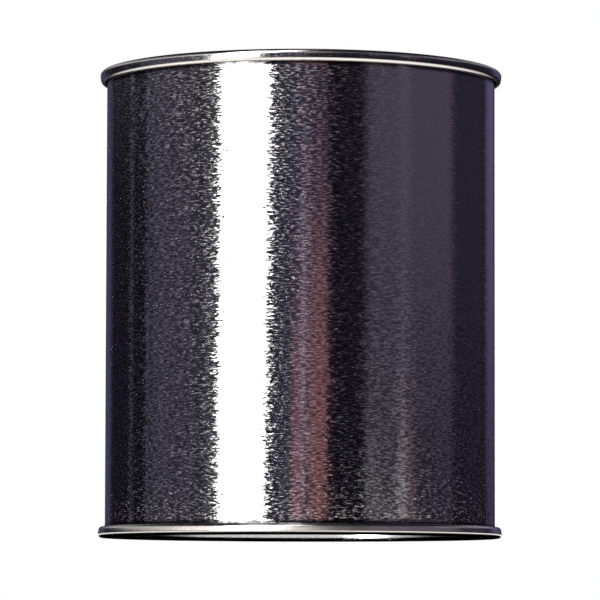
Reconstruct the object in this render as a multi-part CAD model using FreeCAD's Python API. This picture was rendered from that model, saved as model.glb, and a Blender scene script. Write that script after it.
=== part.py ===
"""Round three-piece tin can, shut at both ends, standing upright.

The can is a rolled and welded body filled with food, and two beaded ends that are double seamed onto it.
Units are millimetres. +Z is up, and the origin is the centre of the circle that the can stands on.

Every piece is turned about Z from an outline in the (radius, depth) half plane. Depth is measured from the
crown of the nearer seam towards the middle of the can, so that both ends share one outline. An outline is a
path of corners, each (radius, depth, fillet), and a plate is a path with its own offset as its other side.

From the axis outwards a double seam holds five layers of plate: the end's chuck wall, the body wall, the end's
cover hook, the body's hook, and the end's seaming wall.
"""

import math
import os

import FreeCAD
import Part
from FreeCAD import Vector

# Can
can_height = 119.0  # over both seams
body_radius = 49.65  # outside of the body wall
body_plate = 0.3  # thickness of the body's tinplate
end_plate = 0.3  # thickness of an end's tinplate

# Double seam
seam_height = 3.0  # from the crown to the lip
seam_overhang = 1.9  # from the body wall out to the seam's widest line
seam_face_angle = 3.5  # degrees that the seam's face leans in, from crown to lip
crown_inner_radius = 0.6
crown_outer_radius = 0.8
lip_radius = 0.48  # where the seaming wall turns up into the cover hook
hook_radius = 0.48  # outside of the turn at the top of the body's hook
hook_gap = 0.07  # between neighbouring layers, filled with sealing compound
hook_room = 0.15  # above and below each hook

# Neck, the slightly opened wall just below the seam
neck_angle = 3.2  # degrees that the wall opens from the body to the seam
neck_radius = 16.0  # where the body wall bends out into the neck
neck_room = 0.2  # from the lip down to where the neck turns into the seam
knee_radius = 3.0  # of that turn

# Chuck wall and countersink, the groove just inside the seam
chuck_wall_angle = 14.0  # degrees that the chuck wall opens from the neck to the crown
countersink_depth = 4.9
countersink_width = 1.9
countersink_radius = 0.55

# Panel and its expansion beads
panel_depth = 4.2
bead_rise = 0.7
bead_count = 2  # beads inside the outer shoulder
bead_pitch = 10.5
bead_crest = 2.0
bead_flank = 0.9
bead_radius = 0.6
shoulder_width = 2.6  # the flat ring between the countersink and the first flank
panel_wall_lean = 0.35  # how far the shoulder's wall leans in from the groove

# Welded side seam, at the back of the body
weld_width = 1.0
weld_rise = 0.12
weld_bearing = 90.0  # degrees from +X

# Depths at which the folded plates turn or end
body_hook_top = end_plate + hook_room
cover_hook_tip = body_hook_top + body_plate + hook_room
body_hook_tip = seam_height - end_plate - hook_room
knee_depth = seam_height + neck_room


def radial_width(thickness, angle):
    """Width along the radius of a layer of this thickness that leans by this many degrees."""
    return thickness / math.cos(math.radians(angle))


def seam_line(depth, layers_inside):
    """Radius of a line that runs parallel to the seam's face, this thickness of layers inside it."""
    lean = depth * math.tan(math.radians(seam_face_angle))
    return body_radius + seam_overhang - lean - radial_width(layers_inside, seam_face_angle)


def cover_hook_inside(depth):
    """Radius of the cover hook's inner face, behind the seaming wall and the body's hook."""
    return seam_line(depth, 2 * end_plate + body_plate + 2 * hook_gap)


def body_hook_outside(depth):
    """Radius of the body hook's outer face, just inside the seaming wall."""
    return seam_line(depth, end_plate + hook_gap)


def chuck_wall_outside(depth):
    """Radius of the chuck wall's outer face. The body wall lies on it and clears the cover hook's tip."""
    at_tip = cover_hook_inside(cover_hook_tip) - hook_gap - radial_width(body_plate, chuck_wall_angle)
    steep = min(depth, knee_depth) - cover_hook_tip
    gentle = max(depth - knee_depth, 0.0)
    at_knee = at_tip - steep * math.tan(math.radians(chuck_wall_angle))
    return at_knee - gentle * math.tan(math.radians(neck_angle))


def chuck_wall_inside(depth):
    """Radius of the chuck wall's open face, one plate in from its outer face."""
    angle = chuck_wall_angle if depth < knee_depth else neck_angle
    return chuck_wall_outside(depth) - radial_width(end_plate, angle)


def chuck_wall_knee():
    """The corner of the chuck wall's open face where the neck turns into the seam."""
    middle_angle = (chuck_wall_angle + neck_angle) / 2
    half_turn = (chuck_wall_angle - neck_angle) / 2
    reach = end_plate / math.cos(math.radians(half_turn))
    radius = chuck_wall_outside(knee_depth) - reach * math.cos(math.radians(middle_angle))
    return radius, knee_depth - reach * math.sin(math.radians(middle_angle)), knee_radius


def direction(start, end):
    """Unit vector from one (radius, depth) point to another."""
    run = (end[0] - start[0], end[1] - start[1])
    length = math.hypot(*run)
    return run[0] / length, run[1] / length


def offset_path(corners, distance):
    """The same path moved sideways: to greater depth where it runs outwards, and outwards where it climbs.

    A fillet that the path moves away from grows by the distance, and one that it moves into shrinks.
    """
    moved = []
    last = len(corners) - 1
    for index, (radius, depth, fillet) in enumerate(corners):
        before = direction(corners[max(index - 1, 0)], corners[max(index, 1)])
        after = direction(corners[min(index, last - 1)], corners[min(index + 1, last)])
        turn = before[0] * after[1] - before[1] * after[0]
        spread = 1 + before[0] * after[0] + before[1] * after[1]
        shift = (-(before[1] + after[1]) / spread, (before[0] + after[0]) / spread)
        new_fillet = fillet - math.copysign(distance, turn) if fillet else 0.0
        moved.append((radius + distance * shift[0], depth + distance * shift[1], new_fillet))
    return moved


def in_space(point):
    """A point of the top end's outline in space."""
    return Vector(point[0], 0, can_height - point[1])


def path_edges(corners):
    """Straight edges through the corners, with a tangent arc of its own radius at each filleted one."""
    edges = []
    start = corners[0]
    for previous, corner, following in zip(corners, corners[1:], corners[2:] + [None]):
        fillet = corner[2]
        if following is None or not fillet:
            edges.append(Part.LineSegment(in_space(start), in_space(corner)).toShape())
            start = corner
            continue
        into = direction(previous, corner)
        out_of = direction(corner, following)
        half_turn = math.acos(into[0] * out_of[0] + into[1] * out_of[1]) / 2
        setback = fillet * math.tan(half_turn)
        bulge = fillet / math.cos(half_turn) - fillet
        bisector = direction(into, out_of)
        arc_start = (corner[0] - into[0] * setback, corner[1] - into[1] * setback)
        arc_middle = (corner[0] + bisector[0] * bulge, corner[1] + bisector[1] * bulge)
        arc_end = (corner[0] + out_of[0] * setback, corner[1] + out_of[1] * setback)
        edges.append(Part.LineSegment(in_space(start), in_space(arc_start)).toShape())
        edges.append(Part.Arc(in_space(arc_start), in_space(arc_middle), in_space(arc_end)).toShape())
        start = arc_end
    return edges


def turned(edges, sweep=360.0):
    """The solid that a closed outline sweeps about Z, through a full turn or a few degrees."""
    solid = Part.Face(Part.Wire(edges)).revolve(Vector(0, 0, 0), Vector(0, 0, 1), sweep)
    if solid.Volume < 0:
        solid.reverse()
    return solid


def plate_edges(path, thickness):
    """The closed outline of a plate: the path, its offset as the other side, and a square cut at each end."""
    other_side = offset_path(path, thickness)
    far_cut = path_edges([path[-1], other_side[-1]])
    near_cut = path_edges([other_side[0], path[0]])
    return path_edges(path) + far_cut + path_edges(other_side[::-1]) + near_cut


def panel_path():
    """An end's open face from the axis out to the groove: centre panel, beads, shoulder and countersink."""
    crest_depth = panel_depth - bead_rise
    groove_outer = chuck_wall_inside(countersink_depth)
    groove_inner = groove_outer - countersink_width
    shoulder_outer = groove_inner - panel_wall_lean
    shoulder_inner = shoulder_outer - shoulder_width

    path = [(0.0, panel_depth, 0.0)]
    for bead in range(bead_count, 0, -1):
        centre = shoulder_inner - bead * bead_pitch
        inner_crest = centre - bead_crest / 2
        outer_crest = centre + bead_crest / 2
        path += [
            (inner_crest - bead_flank, panel_depth, bead_radius),
            (inner_crest, crest_depth, bead_radius),
            (outer_crest, crest_depth, bead_radius),
            (outer_crest + bead_flank, panel_depth, bead_radius),
        ]
    path += [
        (shoulder_inner - bead_flank, panel_depth, bead_radius),
        (shoulder_inner, crest_depth, bead_radius),
        (shoulder_outer, crest_depth, bead_radius),
        (groove_inner, countersink_depth, countersink_radius),
        (groove_outer, countersink_depth, countersink_radius),
    ]
    return path


def end_path():
    """An end's whole open face: the panel, up the chuck wall, over the crown, and round into the hook."""
    fold = [
        chuck_wall_knee(),
        (chuck_wall_inside(0.0), 0.0, crown_inner_radius),
        (seam_line(0.0, 0.0), 0.0, crown_outer_radius),
        (seam_line(seam_height, 0.0), seam_height, lip_radius),
        (cover_hook_inside(seam_height), seam_height, lip_radius),
        (cover_hook_inside(cover_hook_tip), cover_hook_tip, 0.0),
    ]
    return panel_path() + fold


def body_hook_path():
    """The body's hook, from the chuck wall over and down between the cover hook and the seaming wall."""
    return [
        (chuck_wall_outside(body_hook_top), body_hook_top, hook_radius),
        (body_hook_outside(body_hook_top), body_hook_top, hook_radius),
        (body_hook_outside(body_hook_tip), body_hook_tip, 0.0),
    ]


def body_wall_path():
    """The inside of the body wall from mid height up: plumb, opened in the neck, then up the chuck wall.

    A seam that is narrower than the body draws the neck in. The neck is never shorter than its two bends.
    """
    bore = body_radius - body_plate
    at_knee = chuck_wall_outside(knee_depth)
    neck_length = abs(at_knee - bore) / math.tan(math.radians(neck_angle))
    neck_bend = neck_radius * math.tan(math.radians(neck_angle / 2))
    knee_bend = knee_radius * math.tan(math.radians((chuck_wall_angle + neck_angle) / 2))
    rise = knee_depth + max(neck_length, neck_bend + knee_bend)
    neck = [(bore, rise, neck_radius), (at_knee, knee_depth, knee_radius - end_plate)]
    return [(bore, can_height / 2, 0.0)] + neck + body_hook_path()


def top_end():
    """The top end: one plate, stamped with beads and folded round the body's hook."""
    return turned(plate_edges(end_path(), end_plate))


def filled_body():
    """The body and its contents as one solid, which reaches up to each end's under face."""
    under_end = offset_path(end_path(), end_plate)[: len(panel_path()) + 1]
    inner_side = under_end + body_hook_path()
    outer_side = offset_path(body_wall_path(), body_plate)
    upper = inner_side + outer_side[:0:-1]
    lower = [(radius, can_height - depth, fillet) for radius, depth, fillet in upper[::-1]]
    return turned(path_edges(upper + lower + upper[:1]))


def side_weld():
    """The body's lapped weld, a low ridge up the wall from lip to lip."""
    middle, bend, knee = offset_path(body_wall_path(), body_plate / 2)[:3]
    upper = [middle, bend, (knee[0], knee[1], 0.0)]
    lower = [(radius, can_height - depth, fillet) for radius, depth, fillet in upper[:0:-1]]
    sweep = math.degrees(weld_width / body_radius)
    ridge = turned(plate_edges(lower + upper[1:], body_plate / 2 + weld_rise), sweep)
    ridge.rotate(Vector(0, 0, 0), Vector(0, 0, 1), weld_bearing - sweep / 2)
    return ridge


def body():
    """The filled body with the weld's ridge on its back."""
    return filled_body().fuse(side_weld()).removeSplitter().Solids[0]


def bottom_end(top):
    """The bottom end: the same stamping, turned over and seamed on from below."""
    return top.mirror(Vector(0, 0, can_height / 2), Vector(0, 0, 1))


def main():
    os.makedirs("parts", exist_ok=True)
    top = top_end()
    pieces = {"can_body": body(), "top_end": top, "bottom_end": bottom_end(top)}
    for node, shape in pieces.items():
        box = shape.optimalBoundingBox(True, False)
        print(f"{node}: {len(shape.Solids)} solid, valid {shape.isValid()}, {shape.Volume / 1000:.2f} ml")
        print(f"  {box.XLength:.2f} mm across, from z {box.ZMin:.2f} to {box.ZMax:.2f} mm")
        shape.exportStep(f"parts/{node}.step")


main()
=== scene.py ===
# %% [markdown]
# # A plain tin can
#
# This lesson dresses a round, unlabelled food can that is shut at both ends. The real can has three pieces
# of tinplate: a sheet rolled into a tube and welded down its back, and two stamped ends that are folded
# onto it. Each is modelled here the way it is made: its outline is drawn as a line, the corners are
# rounded, the line is spun about the can's axis, and the sheet that comes out is given its thickness.
#
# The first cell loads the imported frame, which has the exact sizes, and keeps the size of its box for later.

import math

import bmesh
import bpy
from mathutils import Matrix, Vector


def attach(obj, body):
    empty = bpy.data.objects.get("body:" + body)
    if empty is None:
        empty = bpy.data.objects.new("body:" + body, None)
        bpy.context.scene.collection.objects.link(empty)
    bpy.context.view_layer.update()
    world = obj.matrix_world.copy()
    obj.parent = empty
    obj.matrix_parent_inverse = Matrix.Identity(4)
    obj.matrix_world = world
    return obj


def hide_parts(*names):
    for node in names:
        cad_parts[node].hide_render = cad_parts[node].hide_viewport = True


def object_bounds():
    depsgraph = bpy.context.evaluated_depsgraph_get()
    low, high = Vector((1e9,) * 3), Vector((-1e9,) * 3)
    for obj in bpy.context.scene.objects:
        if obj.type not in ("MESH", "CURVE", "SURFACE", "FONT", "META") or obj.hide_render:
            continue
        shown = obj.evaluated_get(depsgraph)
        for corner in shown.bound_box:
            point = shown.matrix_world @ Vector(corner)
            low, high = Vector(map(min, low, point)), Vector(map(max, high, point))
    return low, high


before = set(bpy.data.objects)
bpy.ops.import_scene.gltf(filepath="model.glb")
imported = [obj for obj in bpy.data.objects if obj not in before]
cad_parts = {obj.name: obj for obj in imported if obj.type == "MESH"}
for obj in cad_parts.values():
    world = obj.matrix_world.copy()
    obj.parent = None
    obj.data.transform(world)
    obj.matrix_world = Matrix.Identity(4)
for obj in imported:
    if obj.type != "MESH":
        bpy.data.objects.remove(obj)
cad_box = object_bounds()
print("pieces in the frame:", sorted(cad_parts))

# %% [markdown]
# The camera comes first, because everything later is judged through it. It is a long lens, far away, so the
# can shows hardly any perspective. It stands a little below the base of the can and looks slightly up,
# which is why both seams curve the same way. A long lens is a narrow angle, so the distance sets the
# perspective and the focal length sets the size. A seventh of a degree of roll is what a hand leaves on a
# tripod.

# %% Place the camera
MM = 0.001
LOOK_UP = 4.16  # degrees above level
ROLL = -0.14  # degrees

camera_data = bpy.data.cameras.new("camera")
camera_data.lens = 261.6
camera_data.sensor_width = 36.0
camera_data.clip_start = 0.05
camera = bpy.data.objects.new("camera", camera_data)
bpy.context.scene.collection.objects.link(camera)
camera.location = (0.10 * MM, -1112 * MM, -20.0 * MM)
camera.rotation_euler = (math.radians(90 + LOOK_UP), math.radians(ROLL), 0.0)
bpy.context.scene.camera = camera
print("camera at", [round(v, 3) for v in camera.location])

# %% [markdown]
# Both ends and the body are turned shapes, so the same helpers make them all. They could be lathed from a
# solid ring, but sheet metal has one thickness everywhere, and a line that follows the sheet keeps it.
# `draw_outline` starts from one small plane, merges it to a single vertex, and extrudes that vertex from
# corner to corner.


# %% Draw an outline
def deselect_all():
    """Clears the selection, so that an operator only acts on what a cell has just made."""
    if bpy.context.object and bpy.context.object.mode != "OBJECT":
        bpy.ops.object.mode_set(mode="OBJECT")
    bpy.ops.object.select_all(action="DESELECT")


def draw_outline(name, corners):
    """A line through (radius, height, rounding) corners in millimetres, left in edit mode."""
    deselect_all()
    bpy.ops.mesh.primitive_plane_add(size=MM)
    outline = bpy.context.object
    outline.name = outline.data.name = name
    bpy.ops.object.mode_set(mode="EDIT")
    bpy.ops.mesh.merge(type="CENTER")
    radius, height = corners[0][:2]
    bpy.ops.transform.translate(value=(radius * MM, 0, height * MM))
    for corner in corners[1:]:
        step = ((corner[0] - radius) * MM, 0, (corner[1] - height) * MM)
        bpy.ops.mesh.extrude_region_move(TRANSFORM_OT_translate={"value": step})
        radius, height = corner[:2]
    return outline


# %% [markdown]
# No bend in sheet metal is sharp, because the press would tear it. Each corner has its own radius, and a
# bevel of one vertex turns the corner into an arc. A bevel is told how far it starts from the corner, so
# the radius is first turned into that setback: radius times the tangent of half the turn.


# %% Round the corners of an outline
def pick_vertices(shape, wanted):
    """Selects the vertices whose place in millimetres passes a test, and returns how many there are."""
    bpy.ops.mesh.select_mode(type="VERT")
    bpy.ops.mesh.select_all(action="DESELECT")
    cage = bmesh.from_edit_mesh(shape.data)
    for vertex in cage.verts:
        vertex.select = bool(wanted(vertex.co / MM))
    cage.select_flush_mode()
    bmesh.update_edit_mesh(shape.data)
    return sum(vertex.select for vertex in cage.verts)


def round_corners(outline, corners, steps=6):
    """Bevels each rounded corner of an outline into an arc of its own radius."""
    for before, corner, after in zip(corners, corners[1:], corners[2:]):
        if not corner[2]:
            continue
        into = Vector((corner[0] - before[0], corner[1] - before[1]))
        out_of = Vector((after[0] - corner[0], after[1] - corner[1]))
        setback = corner[2] * math.tan(into.angle(out_of) / 2)
        place = Vector((corner[0], 0, corner[1]))
        found = pick_vertices(outline, lambda co: (co - place).length < 0.02)
        assert found == 1, (outline.name, corner, found)
        bpy.ops.mesh.bevel(offset=setback * MM, affect="VERTICES", segments=steps, profile=0.5)


# %% [markdown]
# A long straight run would become faces many times longer than wide, on which smooth shading looks smeared.
# So such a run is subdivided before it is spun.


# %% Divide a straight run
def divide_run(outline, start, end, cuts):
    """Cuts one straight run of an outline, between two (radius, height) points, into shorter steps."""
    bpy.ops.mesh.select_mode(type="EDGE")
    bpy.ops.mesh.select_all(action="DESELECT")
    cage = bmesh.from_edit_mesh(outline.data)
    low = Vector((min(start[0], end[0]), 0, min(start[1], end[1])))
    high = Vector((max(start[0], end[0]), 0, max(start[1], end[1])))
    for edge in cage.edges:
        middle = (edge.verts[0].co + edge.verts[1].co) / 2 / MM
        inside = low.x - 0.01 <= middle.x <= high.x + 0.01 and low.z - 0.01 <= middle.z <= high.z + 0.01
        edge.select = inside
    cage.select_flush_mode()
    bmesh.update_edit_mesh(outline.data)
    bpy.ops.mesh.subdivide(number_cuts=cuts)


# %% [markdown]
# `spin_sheet` turns the finished line once round the axis. Drawing first and spinning last keeps every ring
# round, which is what makes reflections run true along metal. A spin can leave two copies of its first
# line, and at the pole it leaves one vertex for each step, so doubles are merged. It may also leave the
# sheet inside out. After the normals agree with each other, one face that surely looks outwards tells
# whether all of them have to turn.

# %% Spin an outline and face it outwards
ROUND_STEPS = 256
print("a sheet is spun in", ROUND_STEPS, "steps")


def spin_sheet(outline):
    """Turns an outline once round the can's axis and closes the join and the pole."""
    bpy.ops.mesh.select_mode(type="VERT")
    bpy.ops.mesh.select_all(action="SELECT")
    bpy.ops.mesh.spin(steps=ROUND_STEPS, angle=2 * math.pi, center=(0, 0, 0), axis=(0, 0, 1))
    bpy.ops.mesh.select_all(action="SELECT")
    bpy.ops.mesh.remove_doubles(threshold=0.002 * MM)


def face_out(sheet, height):
    """Turns all faces outwards, judged by the outermost one at this height, and returns their number."""
    bpy.ops.mesh.select_all(action="SELECT")
    bpy.ops.mesh.normals_make_consistent(inside=False)
    bpy.ops.object.mode_set(mode="OBJECT")
    near = [face for face in sheet.data.polygons if abs(face.center.z / MM - height) < 0.8]
    outermost = max(near, key=lambda face: face.center.xy.length)
    if outermost.normal.xy.dot(outermost.center.xy) < 0:
        sheet.data.flip_normals()
    return len(sheet.data.polygons)


# %% [markdown]
# An end starts as a flat disc of tinplate. A press stamps rings into its panel, so that it can bulge and
# come back when the can is cooked, and sinks the panel inside a steep wall. The rim is then rolled with the
# body's edge into the double seam, a fold of five layers. The outline follows all of that from the centre
# outwards: flat centre, two beads, the raised shoulder, the groove, the steep wall, over the crown, down
# the seam's face and round into the hook that hides inside. A line can follow a fold that no lathe could
# reach, so the real fold is drawn instead of a solid ring.

# %% Sizes of an end
TOP = round(cad_box[1][2] / MM, 2)  # height of the upper crown, in millimetres
PANEL, CREST, GROOVE, LIP = 4.2, 3.5, 4.9, 2.85  # depths below the crown

end_corners = [(0.0, TOP - PANEL, 0.0)]
for bead_middle in (23.25, 33.75):
    end_corners += [
        (bead_middle - 1.9, TOP - PANEL, 0.6),
        (bead_middle - 1.0, TOP - CREST, 0.6),
        (bead_middle + 1.0, TOP - CREST, 0.6),
        (bead_middle + 1.9, TOP - PANEL, 0.6),
    ]
end_corners += [
    (43.35, TOP - PANEL, 0.6),
    (44.25, TOP - CREST, 0.6),
    (46.85, TOP - CREST, 0.6),
    (47.2, TOP - GROOVE, 0.55),
    (49.1, TOP - GROOVE, 0.55),
    (49.2, TOP - 3.16, 3.0),
    (49.99, TOP, 0.5),
    (51.55, TOP, 1.0),
    (51.15, TOP - LIP, 0.9),
    (50.06, TOP - LIP, 0.25),
    (50.43, TOP - 0.9, 0.0),
]
print("the can is", TOP, "mm high, and the outline of an end has", len(end_corners), "corners")

# %% [markdown]
# The helpers now draw, round and spin that line. Only its flat centre has to be divided first, because
# every other run of it is short.

# %% Draw and spin the top end
FLAT_CENTRE = 20.9  # radius of the panel inside the first bead

top_end = draw_outline("lid_top", end_corners)
round_corners(top_end, end_corners)
divide_run(top_end, (0.0, TOP - PANEL), (FLAT_CENTRE, TOP - PANEL), cuts=10)
spin_sheet(top_end)
print("faces in the top end's sheet:", face_out(top_end, TOP - 1.6))

# %% [markdown]
# The plate is three tenths of a millimetre thick. Extruding every face along its normal would do it, but a
# Solidify modifier also keeps the distance even where the sheet turns. It grows inwards, so that the drawn
# line stays the side that shows.

# %% Give the top end its thickness
PLATE = 0.3  # thickness of the tinplate, in millimetres


def apply_modifier(shape, kind, **settings):
    """Adds a modifier with these settings and applies it at once."""
    deselect_all()
    shape.select_set(True)
    bpy.context.view_layer.objects.active = shape
    modifier = shape.modifiers.new(kind.lower(), kind)
    for setting, value in settings.items():
        setattr(modifier, setting, value)
    bpy.ops.object.modifier_apply(modifier=modifier.name)


apply_modifier(top_end, "SOLIDIFY", thickness=PLATE * MM, offset=-1.0, use_even_offset=True)
print("faces with both sides:", len(top_end.data.polygons))

# %% [markdown]
# Both ends come off the same press, so the bottom end is the same mesh, copied and turned over. A turn of
# half a circle about X keeps the faces pointing out, where a mirror would turn the shape inside out.

# %% Copy the end to the bottom
bottom_end = top_end.copy()
bottom_end.data = top_end.data.copy()
bottom_end.name = bottom_end.data.name = "lid_bottom"
bpy.context.scene.collection.objects.link(bottom_end)
deselect_all()
bottom_end.select_set(True)
bpy.context.view_layer.objects.active = bottom_end
bpy.ops.object.mode_set(mode="EDIT")
bpy.ops.mesh.select_all(action="SELECT")
bpy.ops.transform.rotate(value=math.pi, orient_axis="X", center_override=(0, 0, TOP * MM / 2))
bpy.ops.object.mode_set(mode="OBJECT")
lowest = min(vertex.co.z for vertex in bottom_end.data.vertices)
print("bottom end stands at", round(lowest / MM, 4), "mm")

# %% [markdown]
# The body is a sheet rolled into a tube. Near each end it bends out along the steep wall of the end and
# turns over into a hook, which the end's own hook holds. It is drawn from hook to hook along its outside,
# the upper half first as a list that the lower half mirrors. The long plain run between is divided into
# steps of about a millimetre, nearly as high as they are wide once the line is spun.

# %% Draw and spin the body
WALL = 49.65  # outer radius of the plain wall
PLAIN_FROM = 6.5  # where the plain run starts, above the foot and below the top

wall_top = [
    (WALL, TOP - 3.9, 10.7),
    (49.73, TOP - 2.45, 1.4),
    (50.36, TOP - 0.75, 0.18),
    (50.83, TOP - 0.75, 0.18),
    (50.72, TOP - 2.25, 0.0),
]
wall_corners = [(radius, TOP - height, rounding) for radius, height, rounding in wall_top[::-1]] + wall_top
body = draw_outline("body_wall", wall_corners)
round_corners(body, wall_corners)
divide_run(body, (WALL, PLAIN_FROM), (WALL, TOP - PLAIN_FROM), cuts=106)
spin_sheet(body)
print("faces in the body's sheet:", face_out(body, TOP / 2))
apply_modifier(body, "SOLIDIFY", thickness=PLATE * MM, offset=-1.0, use_even_offset=True)

# %% [markdown]
# The tube is closed down its back by a weld: the sheet's two edges overlap by about a millimetre and are
# melted together between two copper wheels. That leaves a narrow ridge. It could be a bump in the material,
# but then it would be gone from the outline and from the mesh. One column of faces is about as wide as the
# weld, so that column is raised on the finished sheet, the way a strip of metal would stand on the wall.

# %% Raise the weld
WELD_WIDTH, WELD_RISE = 1.3, 0.12
WELD_MARGIN = 3.3  # how far the weld ends from the foot and from the top


def raise_weld(shape, width, rise):
    """Pushes out the faces of the wall in a narrow upright strip at the back, and returns their number."""
    deselect_all()
    shape.select_set(True)
    bpy.context.view_layer.objects.active = shape
    bpy.ops.object.mode_set(mode="EDIT")
    bpy.ops.mesh.select_mode(type="FACE")
    bpy.ops.mesh.select_all(action="DESELECT")
    cage = bmesh.from_edit_mesh(shape.data)
    for face in cage.faces:
        middle = face.calc_center_median() / MM
        outward = face.normal.y > 0.9 and middle.y > WALL - PLATE / 2
        face.select = outward and abs(middle.x) < width / 2 and WELD_MARGIN < middle.z < TOP - WELD_MARGIN
    cage.select_flush_mode()
    chosen = sum(face.select for face in cage.faces)
    bmesh.update_edit_mesh(shape.data)
    bpy.ops.mesh.extrude_region_shrink_fatten(TRANSFORM_OT_shrink_fatten={"value": rise * MM})
    bpy.ops.object.mode_set(mode="OBJECT")
    return chosen


print("faces in the weld:", raise_weld(body, WELD_WIDTH, WELD_RISE))

# %% [markdown]
# Smooth shading blends the angle between faces. On its own it would also bend the light on the flat rings
# next to a tight rounding, so each corner's normal is weighted by the size of its faces, which keeps flats
# flat.

# %% Smooth the metal
for sheet in (body, top_end, bottom_end):
    deselect_all()
    sheet.select_set(True)
    bpy.context.view_layer.objects.active = sheet
    bpy.ops.object.shade_smooth()
    apply_modifier(sheet, "WEIGHTED_NORMAL", weight=80)
    print(sheet.name, "has", len(sheet.data.polygons), "faces")

# %% [markdown]
# A node material is a chain of a few kinds of node, so a few small functions build all of them. `add_node`
# takes plain values and other nodes' sockets alike, which lets a chain be written from the inside out.


# %% Add nodes
def new_material(name):
    """A node material, with its node tree and its shader."""
    material = bpy.data.materials.new(name)
    material.use_nodes = True
    tree = material.node_tree
    return material, tree, tree.nodes["Principled BSDF"]


def add_node(tree, kind, inputs=None, **settings):
    """Adds a node. An input is a plain value, or the socket of another node to join to it."""
    node = tree.nodes.new(kind)
    for setting, value in settings.items():
        setattr(node, setting, value)
    for name, value in (inputs or {}).items():
        if isinstance(value, bpy.types.NodeSocket):
            tree.links.new(value, node.inputs[name])
        else:
            node.inputs[name].default_value = value
    return node


def do_math(tree, operation, *values):
    """The result of a Math node."""
    return add_node(tree, "ShaderNodeMath", dict(enumerate(values)), operation=operation).outputs[0]


def on_vectors(tree, operation, *values):
    """The result of a Vector Math node."""
    return add_node(tree, "ShaderNodeVectorMath", dict(enumerate(values)), operation=operation).outputs[0]


def step_between(tree, value, start, end, low=0.0, high=1.0):
    """Goes smoothly from low to high while the value goes from start to end."""
    inputs = {"Value": value, "From Min": start, "From Max": end, "To Min": low, "To Max": high}
    node = add_node(tree, "ShaderNodeMapRange", inputs, interpolation_type="SMOOTHSTEP")
    return node.outputs["Result"]


# %% [markdown]
# Tinplate is steel with a skin of tin a thousandth of a millimetre thick. Its mill finish is a grain of
# short, low dashes that lie round the can, the way the sheet was rolled. Three things make it, all in
# Object coordinates so that it keeps its real size: a bump, which ripples the mirror; flakes, which tip
# small patches of it a little, each its own way, so that a straight bright reflection gets a ragged edge;
# and a noise that says where the metal is rough. A Mapping node that squeezes height more than width lays
# them all flat.


# %% Grain, bump and flakes
def stretch(tree, length, height, seed=0.0):
    """Object coordinates in units this long round the can and this high, in millimetres."""
    place = add_node(tree, "ShaderNodeTexCoord").outputs["Object"]
    scale = (1 / (length * MM), 1 / (length * MM), 1 / (height * MM))
    inputs = {"Vector": place, "Scale": scale, "Location": (seed, seed, seed)}
    return add_node(tree, "ShaderNodeMapping", inputs).outputs["Vector"]


def grain(tree, length, height, seed, detail, rough):
    """Noise whose patches are this long round the can and this high, in millimetres."""
    place = stretch(tree, length, height, seed)
    inputs = {"Vector": place, "Scale": 1.0, "Detail": detail, "Roughness": rough}
    return add_node(tree, "ShaderNodeTexNoise", inputs, noise_dimensions="3D").outputs["Fac"]


def bump(tree, height, depth):
    """A bump of this depth in millimetres."""
    inputs = {"Height": height, "Distance": depth * MM, "Strength": 1.0}
    return add_node(tree, "ShaderNodeBump", inputs).outputs["Normal"]


def flakes(tree, length, height, around, up, below):
    """Tips each small patch of a surface its own way. Most patches hardly tip, and a few tip a long way."""
    place = stretch(tree, length, height)
    patch = add_node(tree, "ShaderNodeTexVoronoi", {"Vector": place, "Scale": 1.0}).outputs["Color"]
    lean = on_vectors(tree, "MULTIPLY_ADD", patch, (2.0, 2.0, 2.0), (-1.0, -1.0, -1.0))
    rare = on_vectors(tree, "MULTIPLY", on_vectors(tree, "MULTIPLY", lean, lean), lean)
    tipped = on_vectors(tree, "MULTIPLY_ADD", rare, (around, around, up), below)
    return on_vectors(tree, "NORMALIZE", tipped)


# %% Mirror of the body
body_metal, tree, shader = new_material("tinplate_body")
shader.inputs["Metallic"].default_value = 1.0
ripples = grain(tree, length=1.2, height=0.25, seed=3.0, detail=2.0, rough=0.6)
normal = flakes(tree, length=1.0, height=0.2, around=0.038, up=0.009, below=bump(tree, ripples, 0.005))
tree.links.new(normal, shader.inputs["Normal"])
dash = grain(tree, length=1.3, height=0.34, seed=41.0, detail=2.5, rough=0.65)
tree.links.new(step_between(tree, dash, 0.46, 0.76, 0.05, 0.24), shader.inputs["Roughness"])
print("nodes that bend the body's mirror:", len(tree.nodes))

# %% [markdown]
# The rough dashes look pale and the smooth tin between them looks dark. Roughness alone would blur what
# they mirror and hardly change how bright it is, so the same noise sets the base colour as well. Handling
# has rubbed this can unevenly: the upper right of its front is the smoothest, so the dashes fade out
# towards it. Beside each seam runs a fold about a millimetre wide that the room's light hardly reaches,
# and its shade is painted there: the base colour is darkened in that band.

# %% Shine of the body
SHINE, SHINE_RANGE = 0.63, 0.37  # the middle level, and how far the dashes take it up and down
CREASE_FROM, CREASE_TO, PAINTED_SHADE_LEVEL = 3.2, 4.0, 0.18  # from the foot or the top, in millimetres

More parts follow.
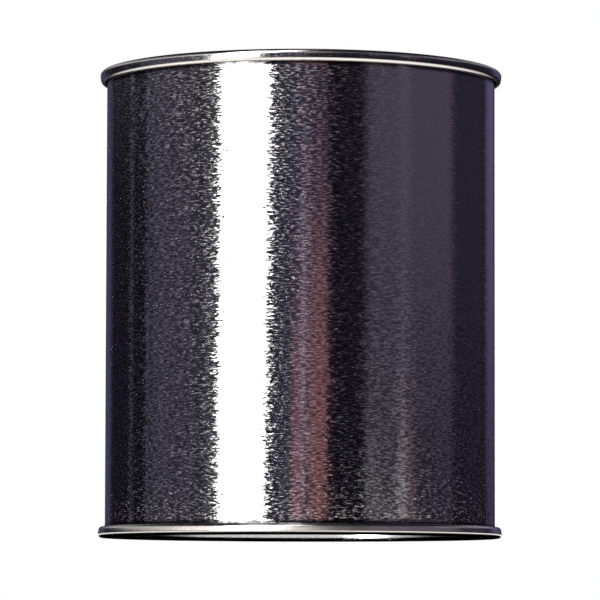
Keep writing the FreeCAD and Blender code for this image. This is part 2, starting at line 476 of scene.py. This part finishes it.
place = add_node(tree, "ShaderNodeTexCoord").outputs["Object"]
sides = add_node(tree, "ShaderNodeSeparateXYZ", {"Vector": place}).outputs
right = step_between(tree, sides["X"], 0.0, 30 * MM)
upper = step_between(tree, sides["Z"], 15 * MM, 95 * MM, 0.0, 0.85)
rubbed = do_math(tree, "MULTIPLY", right, upper)
strength = do_math(tree, "MULTIPLY_ADD", rubbed, -SHINE_RANGE, SHINE_RANGE)
shine = do_math(tree, "MULTIPLY_ADD", step_between(tree, dash, 0.40, 0.61, -1.0, 1.0), strength, SHINE)
# Painted shade: a dark band in the base colour, about a millimetre wide, beside each seam.
from_end = do_math(tree, "MINIMUM", sides["Z"], do_math(tree, "SUBTRACT", TOP * MM, sides["Z"]))
painted_crease_shade = step_between(tree, from_end, CREASE_FROM * MM, CREASE_TO * MM, PAINTED_SHADE_LEVEL, 1.0)
shine = do_math(tree, "MULTIPLY", shine, painted_crease_shade)
green = do_math(tree, "MULTIPLY", shine, 0.985)
tint = add_node(tree, "ShaderNodeCombineXYZ", {"X": shine, "Y": green, "Z": shine}).outputs[0]
tree.links.new(tint, shader.inputs["Base Color"])
body.data.materials.clear()
body.data.materials.append(body_metal)
print("nodes in the body's metal:", len(tree.nodes))

# %% [markdown]
# The ends are stamped from sheet with a brighter finish and are turned every way under the press, so their
# grain has no direction. It is round patches, in roughness and in a very low bump, that soften what the
# beads mirror.

# %% Tinplate of the ends
end_metal, tree, shader = new_material("tinplate_end")
shader.inputs["Metallic"].default_value = 1.0
shader.inputs["Base Color"].default_value = (0.77, 0.76, 0.75, 1)
mottle = grain(tree, length=0.9, height=0.9, seed=17.0, detail=2.0, rough=0.6)
tree.links.new(step_between(tree, mottle, 0.35, 0.70, 0.12, 0.21), shader.inputs["Roughness"])
tree.links.new(bump(tree, mottle, 0.002), shader.inputs["Normal"])
for sheet in (top_end, bottom_end):
    sheet.data.materials.clear()
    sheet.data.materials.append(end_metal)
print("nodes in the ends' metal:", len(tree.nodes))

# %% [markdown]
# Each sheet stands for one piece of the frame and takes that piece's place in the picture. The can has no
# joint, so everything rides on its one body.

# %% Say what rides on what
for sheet, node, slot in (
    (body, "can_body", "body_plate"),
    (top_end, "top_end", "end_plate"),
    (bottom_end, "bottom_end", "end_plate"),
):
    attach(sheet, "root")
    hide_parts(node)
    print(sheet.name, "stands for", node)

# %% [markdown]
# Polished metal has hardly any look of its own: it shows the room. The can therefore needs a studio around
# it as much as it needs a material. Cards and lamps could stand round the can as objects, but a round wall
# squeezes the whole room into its edges, and each card would have to be aimed by trial. So the studio is
# made in the world, by direction: the bearing of a ray, from straight in front of the can, and its height
# above the horizon.

# %% Directions
world = bpy.data.worlds.new("studio")
bpy.context.scene.world = world
world.use_nodes = True
world.cycles.sampling_method = "NONE"
tree = world.node_tree
tree.nodes.clear()

ray = add_node(tree, "ShaderNodeTexCoord").outputs["Generated"]
east, north, up = add_node(tree, "ShaderNodeSeparateXYZ", {"Vector": ray}).outputs
bearing = do_math(tree, "DEGREES", do_math(tree, "ARCTAN2", east, do_math(tree, "MULTIPLY", north, -1.0)))
elevation = do_math(tree, "DEGREES", do_math(tree, "ARCSINE", up))
print("nodes that give a ray's direction:", len(tree.nodes))

# %% [markdown]
# Each card is a soft-edged patch of light round one bearing, between a low and a high edge. It may lean, as
# a light on a slanted stand does. Its edges are smooth steps, because a hard one would show as a cut in the
# metal.


# %% A soft card
def add_card(light, middle, width, soft, colour, band, lean=0.0):
    """Adds a patch to the light so far. All sizes are in degrees, and a band is (low, high, fade)."""
    low, high, fade = band
    leaning = do_math(tree, "MULTIPLY_ADD", elevation, -lean, bearing)
    away = do_math(tree, "WRAP", do_math(tree, "SUBTRACT", leaning, middle), 180.0, -180.0)
    away = do_math(tree, "ABSOLUTE", away)
    across = step_between(tree, away, width / 2 - soft / 2, width / 2 + soft / 2, 1.0, 0.0)
    above = step_between(tree, elevation, low - fade / 2, low + fade / 2)
    below = step_between(tree, elevation, high - fade / 2, high + fade / 2, 1.0, 0.0)
    mask = do_math(tree, "MULTIPLY", do_math(tree, "MULTIPLY", across, above), below)
    shade = add_node(tree, "ShaderNodeCombineXYZ", {"X": mask, "Y": mask, "Z": mask}).outputs[0]
    return on_vectors(tree, "MULTIPLY_ADD", shade, colour, light)


# %% [markdown]
# The wall only mirrors a narrow band of the room, from one degree above the horizon at its foot to seven at
# its top. Most of that band is a dim room: grey and violet patches on the left and right, two thin bright
# gaps far left, a brown board just right of the middle with a dark slit in it, and a few short patches near
# the floor. The patches on the right sink away towards the floor, so they fade slowly from their low edge
# up. Each row gives one card's bearing, width, soft edge, colour and band.

# %% The dim room
ROOM = (-14.0, 30.0, 1.0)
SINKING = (2.2, 30.0, 10.0)
NEAR_FLOOR = (-3.0, 2.0, 1.8)
ROOM_LEVEL = 1.5

dim_cards = (
    (-80.0, 38.0, 10.0, (0.036, 0.034, 0.046), ROOM),
    (-53.5, 10.0, 6.0, (0.058, 0.062, 0.066), ROOM),
    (-102.0, 1.6, 1.2, (0.07, 0.07, 0.09), ROOM),
    (-118.5, 1.6, 1.2, (0.06, 0.06, 0.08), ROOM),
    (-120.0, 60.0, 20.0, (0.02, 0.02, 0.026), (7.0, 30.0, 3.0)),
    (-162.0, 24.0, 10.0, (0.03, 0.03, 0.055), ROOM),
    (-8.0, 22.0, 8.0, (0.03, 0.03, 0.045), ROOM),
    (2.0, 4.2, 2.0, (0.085, 0.06, 0.078), (1.6, 6.0, 1.2)),
    (9.0, 15.0, 3.0, (0.03, 0.022, 0.036), (3.0, 30.0, 4.0)),
    (-2.2, 6.0, 1.2, (0.15, 0.06, 0.06), (-3.0, 3.6, 1.8)),
    (1.8, 1.4, 0.8, (0.13, 0.10, 0.11), (-3.0, 5.2, 1.6)),
    (10.2, 10.8, 1.2, (0.15, 0.062, 0.058), (-3.0, 4.6, 3.0)),
    (52.0, 26.0, 8.0, (0.052, 0.045, 0.062), SINKING),
    (82.0, 38.0, 9.0, (0.05, 0.04, 0.06), SINKING),
    (120.0, 40.0, 20.0, (0.012, 0.009, 0.017), SINKING),
    (154.0, 22.0, 8.0, (0.062, 0.052, 0.105), SINKING),
    (43.0, 10.0, 4.0, (0.095, 0.085, 0.088), NEAR_FLOOR),
    (54.0, 8.0, 4.0, (0.05, 0.045, 0.047), NEAR_FLOOR),
    (61.6, 4.8, 2.5, (0.25, 0.235, 0.235), NEAR_FLOOR),
    (67.5, 6.0, 3.0, (0.09, 0.055, 0.045), NEAR_FLOOR),
)
light = add_node(tree, "ShaderNodeCombineXYZ", {"X": 0.008, "Y": 0.007, "Z": 0.012}).outputs[0]
for card in dim_cards:
    light = add_card(light, *card)
light = on_vectors(tree, "MULTIPLY", light, (ROOM_LEVEL, ROOM_LEVEL, ROOM_LEVEL))
print("dim cards:", len(dim_cards))

# %% [markdown]
# One bright strip light, left of the middle, is the white bar down the can. Two overlapping cards make it,
# and both lean, so that the bar widens towards the top as a tall light does. The rest stands above or below
# the band that the wall mirrors. Only the rounded seams and the ends see it: a warm glow over the strip
# light, a faint sky at the sides and behind, a patch right overhead, and a pale ground far below. Without
# the last three, an end would look black from above or below.

# %% The bright lights
STRIP = (-40.0, 50.0, 12.0)
GLOW = (9.4, 19.0, 1.6)
BACK = (15.0, 36.0, 6.0)

bright_cards = (
    (-40.5, 16.8, 0.8, (6.0, 6.0, 6.0), STRIP, 0.22),
    (-30.0, 15.6, 0.8, (6.0, 6.0, 6.0), STRIP, 0.52),
    (-38.0, 80.0, 36.0, (0.90, 0.84, 0.74), GLOW),
    (-54.0, 140.0, 90.0, (0.36, 0.33, 0.29), GLOW),
    (-120.0, 70.0, 20.0, (0.14, 0.135, 0.12), (8.6, 24.0, 1.4)),
    (-38.0, 100.0, 50.0, (0.12, 0.11, 0.10), (20.0, 40.0, 10.0)),
    (-20.0, 250.0, 60.0, (0.03, 0.028, 0.025), (10.5, 50.0, 4.0)),
    (-120.0, 66.0, 22.0, (0.15, 0.147, 0.147), BACK),
    (120.0, 66.0, 22.0, (0.15, 0.147, 0.147), BACK),
    (180.0, 100.0, 30.0, (0.06, 0.058, 0.06), BACK),
)
for card in bright_cards:
    light = add_card(light, *card)
overhead = step_between(tree, elevation, 81.0, 86.0, 0.0, 0.42)
ground = step_between(tree, elevation, -24.0, -20.0, 0.85, 0.0)
light = on_vectors(tree, "ADD", on_vectors(tree, "ADD", light, overhead), ground)
print("bright cards:", len(bright_cards))

# %% [markdown]
# Only reflected rays see the cards. The camera sees a white background, and dull surfaces get an even white
# light, so the cards change the metal and nothing else.

# %% Who sees what
studio = add_node(tree, "ShaderNodeBackground", {"Color": light, "Strength": 1.0}).outputs[0]
plain = add_node(tree, "ShaderNodeBackground", {"Color": (1, 1, 1, 1), "Strength": 0.55}).outputs[0]
white = add_node(tree, "ShaderNodeBackground", {"Color": (1, 1, 1, 1), "Strength": 1.0}).outputs[0]
path = add_node(tree, "ShaderNodeLightPath").outputs
mirror = add_node(tree, "ShaderNodeMixShader", {0: path["Is Glossy Ray"], 1: plain, 2: studio}).outputs[0]
seen = add_node(tree, "ShaderNodeMixShader", {0: path["Is Camera Ray"], 1: mirror, 2: white}).outputs[0]
add_node(tree, "ShaderNodeOutputWorld", {"Surface": seen})
print("nodes in the world:", len(tree.nodes))

# %% [markdown]
# The floor is a sheet of white paper that catches the can's soft shadow. The camera stands below its level,
# so there is a round opening under the can, hidden by its foot, through which light reaches the underside.

# %% Floor
FLOOR_RADIUS = 5.0
FOOT_OPENING = 49.2 * MM

deselect_all()
bpy.ops.mesh.primitive_circle_add(vertices=128, radius=FLOOR_RADIUS, fill_type="NGON")
floor = bpy.context.object
floor.name = "floor"
bpy.ops.object.mode_set(mode="EDIT")
bpy.ops.mesh.select_all(action="SELECT")
bpy.ops.mesh.inset(thickness=FLOOR_RADIUS - FOOT_OPENING)
bpy.ops.mesh.delete(type="FACE")
bpy.ops.object.mode_set(mode="OBJECT")
print("floor faces:", len(floor.data.polygons))

# %% [markdown]
# Seen from below the paper is clear, as if the can stood at the edge of a shelf. Metal sees the paper only
# near the can, as a warm glow painted into it that fades with distance: that is the bright line low on the
# upper seam. Beyond, a reflected ray goes on to the cards. Right beside the foot the glow is left out, a
# painted shade for the can's own shadow.

# %% Paper of the floor
paper, tree, shader = new_material("paper")
shader.inputs["Roughness"].default_value = 0.9
shader.inputs["Specular IOR Level"].default_value = 0.0
shader.inputs["Base Color"].default_value = (0.86, 0.86, 0.86, 1)
place = add_node(tree, "ShaderNodeTexCoord").outputs["Object"]
distance = add_node(tree, "ShaderNodeVectorMath", {0: place}, operation="LENGTH").outputs["Value"]
mirrored = add_node(tree, "ShaderNodeLightPath").outputs["Is Glossy Ray"]
beyond = do_math(tree, "MULTIPLY", step_between(tree, distance, 0.34, 0.46), mirrored)
behind = add_node(tree, "ShaderNodeNewGeometry").outputs["Backfacing"]
clear_where = do_math(tree, "MAXIMUM", beyond, behind)
# Painted shade by the foot and a painted glow for reflected rays: emission that fades with distance.
outside_painted_shade = step_between(tree, distance, 51.8 * MM, 55.0 * MM)
painted_glow = do_math(tree, "MULTIPLY", outside_painted_shade, step_between(tree, distance, 0.09, 0.42, 1.3, 0.0))
glowing = add_node(tree, "ShaderNodeEmission", {"Color": (1.0, 0.965, 0.90, 1), "Strength": painted_glow}).outputs[0]
near = add_node(tree, "ShaderNodeMixShader", {0: mirrored, 1: shader.outputs[0], 2: glowing}).outputs[0]
clear = add_node(tree, "ShaderNodeBsdfTransparent").outputs[0]
surface = add_node(tree, "ShaderNodeMixShader", {0: clear_where, 1: near, 2: clear}).outputs[0]
tree.links.new(surface, tree.nodes["Material Output"].inputs["Surface"])
floor.data.materials.append(paper)
print("nodes in the paper:", len(tree.nodes))

# %% [markdown]
# One broad soft lamp above and to the left gives the paper its level and the can its shadow. Reflected rays
# don't see the lamp, because the cards already stand for it.

# %% Lamp
lamp_data = bpy.data.lights.new("soft_lamp", "AREA")
lamp_data.shape = "SQUARE"
lamp_data.size = 1.6
lamp_data.energy = 22.0
lamp = bpy.data.objects.new("soft_lamp", lamp_data)
bpy.context.scene.collection.objects.link(lamp)
lamp.location = (-0.7, -0.8, 1.8)
lamp.rotation_euler = (Vector((0, 0, 0.05)) - lamp.location).to_track_quat("-Z", "Y").to_euler()
lamp.visible_glossy = False
lamp.visible_camera = False
print("lamp of", lamp_data.energy, "W at", [round(v, 2) for v in lamp.location])

# %% [markdown]
# Standard shows colours as they are written.

# %% Finish
bpy.context.scene.view_settings.view_transform = "Standard"
